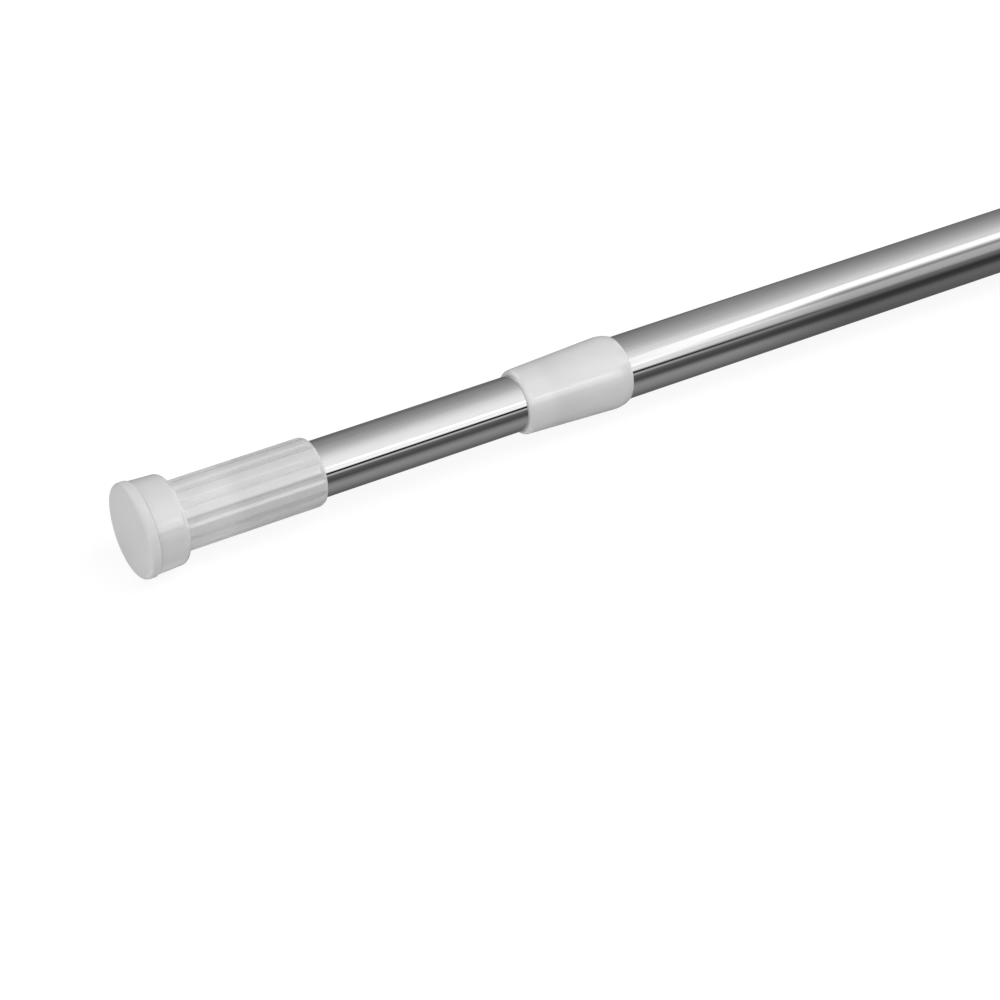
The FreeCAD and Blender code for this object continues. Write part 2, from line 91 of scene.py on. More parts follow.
class NodeSheet:
    """A node tree with short calls for laying out its nodes."""

    def __init__(self, tree: bpy.types.NodeTree) -> None:
        """Takes the tree that the nodes go in."""
        self.tree = tree

    @classmethod
    def emptied(cls, owner: Material | bpy.types.World) -> "NodeSheet":
        """Clears a material's or a world's tree and returns its sheet."""
        owner.use_nodes = True
        owner.node_tree.nodes.clear()
        return cls(owner.node_tree)

    def feed(self, socket: Socket, value: Any) -> None:
        """Gives an input socket a link, where the value is a socket, or else a plain value."""
        if isinstance(value, Socket):
            self.tree.links.new(value, socket)
        else:
            socket.default_value = value

    def node(self, kind: str, inputs: Mapping[Any, Any] | None = None,
             **settings: Any) -> bpy.types.Node:
        """Adds a node.

        Args:
            kind: Blender's name of the node's type.
            inputs: socket name or number, and the value or socket that feeds it.
            settings: the node's own properties.

        Returns:
            The new node.
        """
        node = self.tree.nodes.new(kind)
        for name, value in settings.items():
            setattr(node, name, value)
        for key, value in (inputs or {}).items():
            self.feed(node.inputs[key], value)
        return node

    def made(self, kind: str, inputs: Mapping[Any, Any] | None = None, **settings: Any) -> Socket:
        """Adds a node in the same way and returns its first result."""
        return self.node(kind, inputs, **settings).outputs[0]

    def math(self, operation: str, *values: Any) -> Socket:
        """Adds a Math node and returns its result."""
        node = self.node("ShaderNodeMath", operation=operation)
        for socket, value in zip(node.inputs, values):
            self.feed(socket, value)
        return node.outputs[0]

    def ranged(self, value: Any, low: Any, high: Any, low_out: float, high_out: float,
               curve: str = "LINEAR") -> Socket:
        """Maps a value from one range to another, clamped, and returns the result."""
        node = self.node("ShaderNodeMapRange", interpolation_type=curve)
        for socket, given in zip(node.inputs, (value, low, high, low_out, high_out)):
            self.feed(socket, given)
        return node.outputs[0]

    def edge(self, value: Socket, middle: Socket, blur: Socket, falls: bool = False) -> Socket:
        """Returns a smooth rise from 0 to 1, or a fall, over a blur on both sides of a middle."""
        low, high = self.math("SUBTRACT", middle, blur), self.math("ADD", middle, blur)
        return self.ranged(value, low, high, float(falls), float(not falls), "SMOOTHSTEP")

    def place(self) -> Socket:
        """Returns the piece's own coordinates, which are the frame's."""
        return self.node("ShaderNodeTexCoord").outputs["Object"]

    def noise(self, along: float, across: float, detail: float) -> Socket:
        """Adds a noise pattern.

        Args:
            along: how many cells it has in a metre along X.
            across: how many cells it has in a metre along Y and Z.
            detail: how many finer layers it has.

        Returns:
            The pattern's value, about 0.5 on average.
        """
        cells = (along, across, across)
        stretched = self.made("ShaderNodeMapping", {"Vector": self.place(), "Scale": cells})
        return self.made("ShaderNodeTexNoise", {"Vector": stretched, "Scale": 1.0, "Detail": detail})

    def streaks(self, length: float, pitch: float, detail: float) -> Socket:
        """Returns a noise pattern drawn out along X, in cells of that length and pitch."""
        return self.noise(1 / length, 1 / pitch, detail)

    def grain(self, pitch: float, detail: float) -> Socket:
        """Returns a noise pattern in even cells of that pitch."""
        return self.noise(1 / pitch, 1 / pitch, detail)

    def bump(self, height: Socket, depth: float, normal: Socket | None = None) -> Socket:
        """Raises the surface by a pattern and returns the new normal."""
        inputs = {"Height": height, "Distance": depth}
        if normal is not None:
            inputs["Normal"] = normal
        return self.made("ShaderNodeBump", inputs)

    def ramp(self, factor: Socket, stops: Sequence[tuple[float, Colour]]) -> Socket:
        """Adds a colour ramp.

        Args:
            factor: what picks the colour, from 0 to 1.
            stops: place on the ramp and colour, in rising order.

        Returns:
            The colour.
        """
        node = self.node("ShaderNodeValToRGB", {0: factor})
        elements = node.color_ramp.elements
        while len(elements) > 1:
            elements.remove(elements[-1])
        elements[0].position = stops[0][0]
        elements[0].color = (*stops[0][1], 1.0)
        for position, colour in stops[1:]:
            elements.new(position).color = (*colour, 1.0)
        return node.outputs[0]


class GeometryRecipe:
    """A Geometry Nodes tree with named inputs, and its use on a piece."""

    def __init__(self, name: str) -> None:
        """Opens an empty tree of that name."""
        self.tree = bpy.data.node_groups.new(name, "GeometryNodeTree")
        self.sheet = NodeSheet(self.tree)
        self.inputs: dict[str, str] = {}
        self.tree.interface.new_socket("Geometry", in_out="INPUT", socket_type="NodeSocketGeometry")
        self.tree.interface.new_socket("Geometry", in_out="OUTPUT", socket_type="NodeSocketGeometry")
        self.entry = self.sheet.node("NodeGroupInput")

    def given(self, name: str) -> Socket:
        """Adds a named number as an input and returns its socket inside the tree."""
        item = self.tree.interface.new_socket(name, in_out="INPUT", socket_type="NodeSocketFloat")
        self.inputs[name] = item.identifier
        return self.entry.outputs[name]

    def close(self, geometry: Socket) -> None:
        """Ends the tree with that geometry."""
        self.sheet.node("NodeGroupOutput", {0: geometry})

    def bake(self, piece: Piece, values: Mapping[str, float]) -> None:
        """Runs the tree on a piece and keeps the result as its plain mesh.

        Args:
            piece: the mesh object that the tree starts from.
            values: each named input's value.
        """
        modifier = piece.modifiers.new(self.tree.name, "NODES")
        modifier.node_group = self.tree
        for name, value in values.items():
            modifier[self.inputs[name]] = value
        depsgraph = bpy.context.evaluated_depsgraph_get()
        mesh = bpy.data.meshes.new_from_object(piece.evaluated_get(depsgraph))
        piece.modifiers.remove(modifier)
        piece.data = mesh


@dataclass(frozen=True)
class Finish:
    """A surface finish, which makes its own material.

    Noise varies it. Over tint_span of the noise the colour rises from low_shade of itself to the
    whole, and over rough_span the roughness goes from the first to the second share of itself.
    """

    name: str
    colour: Colour
    roughness: float
    low_shade: float = 1.0
    tint_span: Pair = NARROW_NOISE
    rough_shares: Pair = (1.0, 1.0)
    rough_span: Pair = WIDE_NOISE

    def material(self) -> Material:
        """Builds the material and returns it."""
        material = bpy.data.materials.new(self.name)
        material.use_nodes = True
        shader = material.node_tree.nodes["Principled BSDF"]
        sheet = NodeSheet(material.node_tree)
        for name, value in self.inputs(sheet).items():
            sheet.feed(shader.inputs[name], value)
        return material

    def inputs(self, sheet: NodeSheet) -> dict[str, Any]:
        """Lays out the finish's nodes and returns what each of the shader's inputs takes."""
        raise NotImplementedError

    def shade(self, share: float) -> Colour:
        """Returns the finish's colour, darkened to a share of itself."""
        return tuple(channel * share for channel in self.colour)

    def tint(self, sheet: NodeSheet, noise: Socket) -> Socket:
        """Returns the colour that the noise gives."""
        low, high = self.tint_span
        return sheet.ramp(noise, [(low, self.shade(self.low_shade)), (high, self.colour)])

    def rough(self, sheet: NodeSheet, noise: Socket) -> Socket:
        """Returns the roughness that the noise gives."""
        low, high = (self.roughness * share for share in self.rough_shares)
        return sheet.ranged(noise, *self.rough_span, low, high)

    def soak(self, weight: float, depth: float) -> dict[str, Any]:
        """Returns the inputs that let a share of the light in, to about a depth."""
        return {
            "Subsurface Weight": weight,
            "Subsurface Radius": (1.0, 1.0, 1.0),
            "Subsurface Scale": depth,
        }


@dataclass(frozen=True)
class ChromePlate(Finish):
    """Bright chrome on drawn tube: long drawn lines, a short grain along them and a slow waviness."""

    low_shade: float = 0.94
    rough_shares: Pair = (1.3, 0.8)
    rough_span: Pair = NARROW_NOISE
    line_depth: float = 0.0008 * MM
    line_pitch: float = 0.9 * MM
    line_length: float = 200.0 * MM
    grain_depth: float = 0.0012 * MM
    grain_pitch: float = 0.5 * MM
    grain_length: float = 7.0 * MM
    wave_depth: float = 0.01 * MM
    wave_pitch: float = 9.0 * MM
    wave_length: float = 100.0 * MM

    def inputs(self, sheet: NodeSheet) -> dict[str, Any]:
        """Lays out the plate's nodes."""
        lines = sheet.streaks(self.line_length, self.line_pitch, 3.0)
        grain = sheet.streaks(self.grain_length, self.grain_pitch, 2.0)
        waves = sheet.streaks(self.wave_length, self.wave_pitch, 1.0)
        mean = sheet.math("MULTIPLY", sheet.math("ADD", lines, grain), 0.5)
        normal = sheet.bump(lines, self.line_depth, sheet.bump(waves, self.wave_depth))
        return {
            "Base Color": self.tint(sheet, mean),
            "Roughness": self.rough(sheet, mean),
            "Normal": sheet.bump(grain, self.grain_depth, normal),
            "Metallic": 1.0,
        }


@dataclass(frozen=True)
class MilkyPlastic(Finish):
    """Milky moulded plastic that lets a little light through.

    The attribute "flute" is how deep a point is in a flute, where the wall is thin and more matt, and
    "over_tube" is how far the plated tube stands behind the wall. Both darken the colour as painted
    shade, standing in for the thin wall and the tube seen through it.
    """

    rough_shares: Pair = (0.9, 1.15)
    flute_painted_shade: float = 0.015
    tube_painted_shade: float = 0.09
    thin_over_tube_painted_shade: float = 0.05
    cloud_shade: float = 0.03
    cloud_pitch: float = 12.0 * MM
    skin_pitch: float = 1.2 * MM
    skin_depth: float = 0.0015 * MM
    flute_roughness: float = 0.16
    weight: float = 0.7
    depth: float = 2.2 * MM
    index: float = 1.75
    gloss: float = 1.0

    def inputs(self, sheet: NodeSheet) -> dict[str, Any]:
        """Lays out the plastic's nodes."""
        clouds = sheet.streaks(self.cloud_pitch * 2, self.cloud_pitch, 2.0)
        flute, tube = (sheet.node("ShaderNodeAttribute", attribute_name=name).outputs["Fac"]
                       for name in ("flute", "over_tube"))
        # Random clouds in the plastic, plus painted shade in the flutes' thin wall and where the tube
        # shows through
        shades = (
            sheet.ranged(clouds, *WIDE_NOISE, 0.0, self.cloud_shade),
            sheet.math("MULTIPLY", flute, self.flute_painted_shade),
            sheet.math("MULTIPLY", tube, self.tube_painted_shade),
            sheet.math("MULTIPLY", sheet.math("MULTIPLY", flute, tube), self.thin_over_tube_painted_shade),
        )
        total = shades[0]
        for shade in shades[1:]:
            total = sheet.math("ADD", total, shade)
        skin = sheet.grain(self.skin_pitch, 2.0)
        matt = sheet.math("MULTIPLY", flute, self.flute_roughness)
        return {
            "Base Color": sheet.ramp(total, [(0.0, self.colour), (1.0, self.shade(0.0))]),
            "Roughness": sheet.math("ADD", self.rough(sheet, skin), matt),
            "Normal": sheet.bump(skin, self.skin_depth),
            "IOR": self.index,
            "Specular IOR Level": self.gloss,
            **self.soak(self.weight, self.depth),
        }


@dataclass(frozen=True)
class SoftVinyl(Finish):
    """Satin soft vinyl, with a fine even skin and faint patches."""

    low_shade: float = 0.96
    rough_shares: Pair = (0.9, 1.1)
    patch_pitch: float = 14.4 * MM
    skin_pitch: float = 0.6 * MM
    skin_depth: float = 0.003 * MM
    weight: float = 0.5
    depth: float = 1.2 * MM

    def inputs(self, sheet: NodeSheet) -> dict[str, Any]:
        """Lays out the vinyl's nodes."""
        skin = sheet.grain(self.skin_pitch, 3.0)
        return {
            "Base Color": self.tint(sheet, sheet.grain(self.patch_pitch, 1.0)),
            "Roughness": self.rough(sheet, skin),
            "Normal": sheet.bump(skin, self.skin_depth),
            **self.soak(self.weight, self.depth),
        }


@dataclass(frozen=True)
class Moulding(Finish):
    """Plain moulded plastic or rubber, matt, with a slightly mottled skin."""

    low_shade: float = 0.9
    rough_shares: Pair = (0.85, 1.1)
    mottle_pitch: float = 3.0 * MM
    skin_depth: float = 0.01 * MM

    def inputs(self, sheet: NodeSheet) -> dict[str, Any]:
        """Lays out the moulding's nodes."""
        mottle = sheet.grain(self.mottle_pitch, 4.0)
        return {
            "Base Color": self.tint(sheet, mottle),
            "Roughness": self.rough(sheet, mottle),
            "Normal": sheet.bump(mottle, self.skin_depth),
        }


class SteelWork(Enum):
    """How a steel surface was worked: cells in a metre along X, and across it."""

    TURNED = (2500.0, 40.0)
    DRAWN = (40.0, 2500.0)


@dataclass(frozen=True)
class Steel(Finish):
    """Bare or zinc-plated steel, with the marks of how it was worked."""

    low_shade: float = 0.85
    tint_span: Pair = WIDE_NOISE
    rough_shares: Pair = (0.8, 1.3)
    work: SteelWork = SteelWork.TURNED
    mark_depth: float = 0.004 * MM
    blotches_per_metre: float = 300.0

    def inputs(self, sheet: NodeSheet) -> dict[str, Any]:
        """Lays out the steel's nodes."""
        marks = sheet.noise(*self.work.value, 3.0)
        blotches = sheet.noise(self.blotches_per_metre, self.blotches_per_metre, 2.0)
        return {
            "Base Color": self.tint(sheet, blotches),
            "Roughness": self.rough(sheet, marks),
            "Normal": sheet.bump(marks, self.mark_depth),
            "Metallic": 1.0,
        }


class Slot(Enum):
    """The record's material slots."""

    CHROME = "chrome_tube"
    MILKY = "milky_plastic"
    PAD = "soft_pad"
    NYLON = "nylon"
    ZINC = "zinc_steel"
    SPRING = "spring_steel"
    RUBBER = "black_rubber"


FINISHES: dict[Slot, Finish] = {
    Slot.CHROME: ChromePlate("bright_chrome", (0.94, 0.94, 0.94), 0.04),
    Slot.MILKY: MilkyPlastic("milky_plastic", (0.776, 0.776, 0.776), 0.15),
    Slot.PAD: SoftVinyl("soft_vinyl", (0.73, 0.73, 0.73), 0.4),
    Slot.NYLON: Moulding("natural_nylon", (0.8, 0.78, 0.72), 0.5),
    Slot.ZINC: Steel("zinc_plate", (0.62, 0.63, 0.65), 0.3),
    Slot.SPRING: Steel("spring_wire", (0.45, 0.45, 0.46), 0.3, work=SteelWork.DRAWN),
    Slot.RUBBER: Moulding("black_rubber", (0.03, 0.03, 0.03), 0.7),
}


@dataclass
class Outline:
    """Half section of a turned piece, as points of station and radius."""

    points: list[Pair] = field(default_factory=list)

    def to(self, station: float, radius: float, steps: int = 1) -> "Outline":
        """Runs straight to a point, in equal steps, or starts there."""
        if not self.points:
            self.points.append((station, radius))
            return self
        x, r = self.points[-1]
        for step in range(1, steps + 1):
            share = step / steps
            self.points.append((x + (station - x) * share, r + (radius - r) * share))
        return self

    def quarter(self, station: float, radius: float, centre: Pair, steps: int) -> "Outline":
        """Runs to a point in a quarter of an ellipse about a centre."""
        x, r = self.points[-1]
        for step in range(1, steps + 1):
            angle = math.pi / 2 * step / steps
            start, end = math.cos(angle), math.sin(angle)
            self.points.append((centre[0] + (x - centre[0]) * start + (station - centre[0]) * end,
                                centre[1] + (r - centre[1]) * start + (radius - centre[1]) * end))
        return self

    def bend(self, poles: Sequence[Pair], steps: int) -> "Outline":
        """Runs in a cubic curve through three more poles, the last of which is its end."""
        curve = (self.points[-1], *poles)
        for step in range(1, steps + 1):
            t = step / steps
            weights = ((1 - t) ** 3, 3 * t * (1 - t) ** 2, 3 * t * t * (1 - t), t ** 3)
            self.points.append(tuple(sum(w * pole[axis] for w, pole in zip(weights, curve))
                                     for axis in range(2)))
        return self


def added(name: str, data: bpy.types.ID) -> Piece:
    """Adds an object with that data to the scene and returns it."""
    thing = bpy.data.objects.new(name, data)
    bpy.context.scene.collection.objects.link(thing)
    return thing


def turned(name: str, outline: Outline, place: Callable[[float], float] = lambda station: station,
           segments: int = 256) -> Piece:
    """Turns a closed outline about the rod's axis into a solid mesh.

    Args:
        name: the new object's name.
        outline: the half section; it is closed, or both its ends stand on the axis.
        place: gives the rod's X for one of the outline's stations.
        segments: how many sides a full turn has.

    Returns:
        The new object, at the origin.
    """
    shape = bmesh.new()
    rings = []
    for station, radius in outline.points:
        x = place(station)
        if radius < TINY:
            rings.append([shape.verts.new((x, 0.0, 0.0))] * segments)
            continue
        turns = [2 * math.pi * side / segments for side in range(segments)]
        rings.append([shape.verts.new((x, radius * math.cos(turn), radius * math.sin(turn)))
                      for turn in turns])
    solid = outline.points[0][1] < TINY
    for near, far in zip(rings, rings[1:] if solid else rings[1:] + rings[:1]):
        for side in range(segments):
            after = (side + 1) % segments
            corners = dict.fromkeys((near[side], near[after], far[after], far[side]))
            shape.faces.new(corners)
    bmesh.ops.recalc_face_normals(shape, faces=shape.faces)
    mesh = bpy.data.meshes.new(name)
    shape.to_mesh(mesh)
    shape.free()
    mesh.shade_smooth()
    mesh.set_sharp_from_angle(angle=math.radians(CREASE_DEGREES))
    return added(name, mesh)


class Workshop:
    """Hands out materials, and fixes finished pieces to the frame."""

    def __init__(self) -> None:
        """Builds every finish's material."""
        self.materials = {slot: finish.material() for slot, finish in FINISHES.items()}

    def fix(self, piece: Piece, node: str, body: str, slot: Slot) -> None:
        """Gives a shaped piece its one material and puts it in its CAD node's place.

        Args:
            piece: the piece, in its final shape.
            node: the CAD node that it stands for.
            body: the CAD body that it moves with.
            slot: the record's slot that its finish is from.
        """
        piece.data.materials.append(self.materials[slot])
        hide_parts(node)
        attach(piece, body)
        LOG.info("%s stands for %s on %s: %d faces", piece.name, node, body, len(piece.data.polygons))


@dataclass
class RodTube:
    """One plated tube, with its ends slightly broken."""

    body: str
    wall: float
    edge_break: float = 0.12 * MM
    runs: int = 24

    def build(self, shop: Workshop) -> None:
        """Turns the tube and puts it in place."""
        node = f"{self.body}_tube"
        low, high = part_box(node)
        radius = high.z
        bore = radius - self.wall
        cut = self.edge_break
        outline = Outline()
        outline.to(low.x, bore + cut).to(low.x, radius - cut).to(low.x + cut, radius)
        outline.to(high.x - cut, radius, self.runs).to(high.x, radius - cut).to(high.x, bore + cut)
        outline.to(high.x - cut, bore).to(low.x + cut, bore, self.runs)
        tube = turned(f"plated_{node}", outline)
        shop.fix(tube, node, self.body, Slot.CHROME)


@dataclass
class TaperedCollar:
    """Collar on the outer tube's mouth: a rounded lip, a long taper and a swollen tail."""

    bore: float = 11.1 * MM
    seat: float = 12.55 * MM
    guide_length: float = 12.0 * MM
    lip_bore: float = 10.97 * MM
    lip_inset: float = 0.5 * MM
    mouth_radius: float = 12.75 * MM
    mouth_round_length: float = 2.2 * MM
    mouth_round_depth: float = 1.7 * MM
    tail_length: float = 6.0 * MM
    tail_radius: float = 12.75 * MM
    tail_bulge: float = 0.42

    def outline(self, tail: float, mouth: float, large: float) -> Outline:
        """Returns the collar's half section.

        Args:
            tail: station of its end on the tube.
            mouth: station of its open end.
            large: its largest radius.
        """
        shoulder = tail + self.tail_length
        taper = math.atan2(large - self.mouth_radius, mouth - shoulder)
        pull = math.hypot(self.tail_length, large - self.tail_radius) * self.tail_bulge
        lip = mouth - self.lip_inset
        round_start = lip - self.mouth_round_length
        round_foot = self.mouth_radius - self.mouth_round_depth
        outline = Outline().to(round_start, self.bore).to(lip, self.lip_bore).to(lip, round_foot)
        outline.quarter(round_start, self.mouth_radius, (round_start, round_foot), 12)
        outline.to(shoulder, large, 24)
        outline.bend([(shoulder - pull * math.cos(taper), large + pull * math.sin(taper)),
                      (tail, self.tail_radius + (large - self.tail_radius) * self.tail_bulge),
                      (tail, self.tail_radius)], 16)
        outline.to(tail, self.seat).to(mouth - self.guide_length, self.seat, 12)
        return outline.to(mouth - self.guide_length, self.bore)

    def build(self, shop: Workshop) -> None:
        """Turns the collar and puts it in place."""
        low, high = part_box("collar")
        collar = turned("tapered_collar", self.outline(low.x, high.x, high.z))
        shop.fix(collar, "collar", "outer", Slot.MILKY)


@dataclass(frozen=True)
class RodEnd:
    """One end of the rod: its foot face's station, and which way the rod runs from there."""

    name: str
    foot: float
    inward: int

    def x(self, distance: float) -> float:
        """Returns the rod's X at a distance from the foot face."""
        return self.foot + self.inward * distance


@dataclass
class FluteCutter:
    """Sinks evenly spaced flutes into a turned sleeve, and marks where the wall is thin and where the
    tube stands behind it, for the plastic's painted shade.
    """

    count: int = 12
    width: float = math.radians(18.4)
    depth: float = 0.5 * MM
    draft: float = 1.7 * MM
    blend: float = 5.0 * MM

    def __post_init__(self) -> None:
        """Builds the tree, whose inputs are the sizes of one sleeve."""
        self.recipe = GeometryRecipe("flute_cutter")
        sheet = self.recipe.sheet
        given = self.recipe.given
        sleeve = given("Sleeve Radius")
        floor = sheet.math("SUBTRACT", sleeve, given("Depth"))
        point = sheet.made("GeometryNodeInputPosition")
        axes = sheet.node("ShaderNodeSeparateXYZ", {0: point}).outputs
        radius = sheet.math("SQRT", sheet.math("ADD", sheet.math("MULTIPLY", axes[1], axes[1]),
                                               sheet.math("MULTIPLY", axes[2], axes[2])))
        share = self.share_of_flute(axes, given)
        along = sheet.math("MULTIPLY", sheet.math("SUBTRACT", axes[0], given("Root")), given("Inward"))
        on_sleeve = sheet.math("GREATER_THAN", along, -HAIR)
        narrow = sheet.math("LESS_THAN", radius, sheet.math("ADD", sleeve, HAIR))
        share = sheet.math("MULTIPLY", share, sheet.math("MULTIPLY", on_sleeve, narrow))
        over = sheet.math("MAXIMUM", sheet.math("SUBTRACT", radius, floor), 0.0)
        sunk = sheet.math("SUBTRACT", radius, sheet.math("MULTIPLY", over, share))
        scale = sheet.math("DIVIDE", sunk, sheet.math("MAXIMUM", radius, TINY))
        moved = sheet.made("ShaderNodeCombineXYZ", {
            "X": axes[0],
            "Y": sheet.math("MULTIPLY", axes[1], scale),
            "Z": sheet.math("MULTIPLY", axes[2], scale),
        })
        outer = sheet.math("GREATER_THAN", over, 0.0)
        marked = self.mark(self.recipe.entry.outputs["Geometry"], "flute",
                           sheet.math("MULTIPLY", share, outer))
        # Where the tube stands behind the wall, which the plastic darkens as painted shade
        tube_behind = sheet.edge(along, given("Seat"), given("Blend"))
        self.recipe.close(sheet.made("GeometryNodeSetPosition", {
            "Geometry": self.mark(marked, "over_tube", tube_behind),
            "Position": moved,
        }))

    def share_of_flute(self, axes: Any, given: Callable[..., Socket]) -> Socket:
        """Returns how deep a point is in a flute by its angle: 0 on a land, 1 on the floor."""
        sheet = self.recipe.sheet
        angle = sheet.math("SUBTRACT", sheet.math("ARCTAN2", axes[2], axes[1]), given("Turn"))
        half_pitch = sheet.math("DIVIDE", math.pi, given("Flutes"))
        wrapped = sheet.math("WRAP", angle, half_pitch, sheet.math("MULTIPLY", half_pitch, -1.0))
        aside = sheet.math("ABSOLUTE", wrapped)
        half = sheet.math("MULTIPLY", given("Width"), 0.5)
        foot_of_wall = sheet.math("SUBTRACT", half, given("Wall"))
        return sheet.ranged(aside, foot_of_wall, half, 1.0, 0.0, "SMOOTHSTEP")

    def mark(self, geometry: Socket, name: str, value: Socket) -> Socket:
        """Stores a value on every point, under a name that the material reads."""
        inputs = {"Geometry": geometry, "Name": name, "Value": value}
        return self.recipe.sheet.made("GeometryNodeStoreNamedAttribute", inputs,
                                      data_type="FLOAT", domain="POINT")

    def cut(self, cap: Piece, sleeve: float, turn: float, root: float, end: RodEnd,
            seat: float) -> None:
        """Cuts the flutes into a cap.

        Args:
            cap: the turned cap.
            sleeve: the sleeve's radius.
            turn: the first flute's angle around the rod.
            root: the sleeve's start, as a distance from the foot face.
            end: the end of the rod that the cap is on.
            seat: how far along the sleeve the tube's end stands behind the wall, from where the plastic
                gets painted shade.
        """
        self.recipe.bake(cap, {
            "Sleeve Radius": sleeve,
            "Depth": self.depth,
            "Turn": turn,
            "Flutes": float(self.count),
            "Width": self.width,
            "Wall": self.draft / sleeve,
            "Root": end.x(root),
            "Inward": float(end.inward),
            "Seat": seat,
            "Blend": self.blend,
        })


@dataclass
class EndCap:
    """End cap, one moulding: a wide head and a fluted sleeve that takes the tube's end."""

    end: RodEnd
    tube_radius: float
    turn: float
    head_length: float = 12.8 * MM
    head_front: float = 17.6 * MM
    head_back: float = 17.15 * MM
    front_round: float = 0.4 * MM
    back_round: float = 2.6 * MM
    head_wall: float = 2.6 * MM
    head_web: float = 3.0 * MM
    stem_hole: float = 4.55 * MM
    sleeve_wall: float = 2.35 * MM
    sleeve_fillet: float = 0.5 * MM
    end_round_length: float = 2.7 * MM
    end_round_depth: float = 1.7 * MM
    core_step: float = 1.8 * MM
    seat_depth: float = 36.0 * MM
    fit: float = 0.05 * MM
    segments: int = 576

    @property
    def bore(self) -> float:
        """Radius of the sleeve's bore."""
        return self.tube_radius + self.fit

    @property
    def sleeve(self) -> float:
        """Radius of the sleeve's outside."""
        return self.bore + self.sleeve_wall

    def outline(self, length: float) -> Outline:
        """Returns the cap's half section, from the foot face to the sleeve's end."""
        front, back = PAD_THICKNESS, PAD_THICKNESS + self.head_length
        bore, sleeve = self.bore, self.sleeve
        core = bore - self.core_step
        seat = length - self.seat_depth
        web = front + self.head_web
        round_start = length - self.end_round_length
        lip = sleeve - self.end_round_depth
        fillet = self.sleeve_fillet
        relief = self.head_back - self.head_wall
        outline = Outline().to(front, self.stem_hole)
        if relief > sleeve:
            depth = front + self.head_length - self.head_wall
            outline.to(front, sleeve).to(depth, sleeve, 4).to(depth, relief).to(front, relief, 4)
        brow, heel = self.front_round, self.back_round
        outline.to(front, self.head_front - brow)
        outline.quarter(front + brow, self.head_front, (front + brow, self.head_front - brow), 5)
        outline.to(back - heel, self.head_back, 4)
        outline.quarter(back, self.head_back - heel, (back - heel, self.head_back - heel), 12)
        if self.head_back - heel > sleeve + fillet:
            outline.to(back, sleeve + fillet)
        outline.quarter(back + fillet, sleeve, (back + fillet, sleeve + fillet), 4)
        outline.to(round_start, sleeve, 16)
        outline.quarter(length, lip, (round_start, lip), 12)
        outline.to(length, bore).to(seat, bore, 8).to(seat, core).to(web, core, 4)
        return outline.to(web, self.stem_hole)

    def build(self, shop: Workshop, cutter: FluteCutter) -> None:
        """Turns the cap, cuts its flutes and puts it in place."""
        node = f"{self.end.name}_end_cap"
        low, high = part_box(node)
        length = max(abs(low.x - self.end.foot), abs(high.x - self.end.foot))
        cap = turned(f"fluted_{node}", self.outline(length), self.end.x, self.segments)
        root = PAD_THICKNESS + self.head_length
        seat = length - self.seat_depth - root
        cutter.cut(cap, self.sleeve, self.turn, root, self.end, seat)
        shop.fix(cap, node, self.end.name, Slot.MILKY)


@dataclass
class FootPad:
    """Soft foot: a disc with a rounded rim, on a barbed stem that holds it in the head."""

    end: RodEnd
    rim_round: float = 1.8 * MM
    back_round: float = 0.5 * MM
    stem: float = 4.5 * MM
    barb_start: float = 7.2 * MM
    barb_lip: float = 0.7 * MM

    def build(self, shop: Workshop) -> None:
        """Turns the pad and puts it in place."""
        node = f"{self.end.name}_foot_pad"
        low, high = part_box(node)
        radius = high.z
        tip = high.x - low.x
        back, rim, edge = PAD_THICKNESS, self.rim_round, self.back_round
        outline = Outline().to(0.0, 0.0).to(0.0, radius - rim, 12)
        outline.quarter(rim, radius, (rim, radius - rim), 12)
        outline.to(back - edge, radius)
        outline.quarter(back, radius - edge, (back - edge, radius - edge), 5)
        outline.to(back, self.stem).to(self.barb_start, self.stem)
        outline.to(self.barb_start, self.stem + self.barb_lip)
        outline.to(tip, self.stem - self.barb_lip).to(tip, 0.0)
        pad = turned(f"soft_{node}", outline, self.end.x)
        shop.fix(pad, node, self.end.name, Slot.PAD)


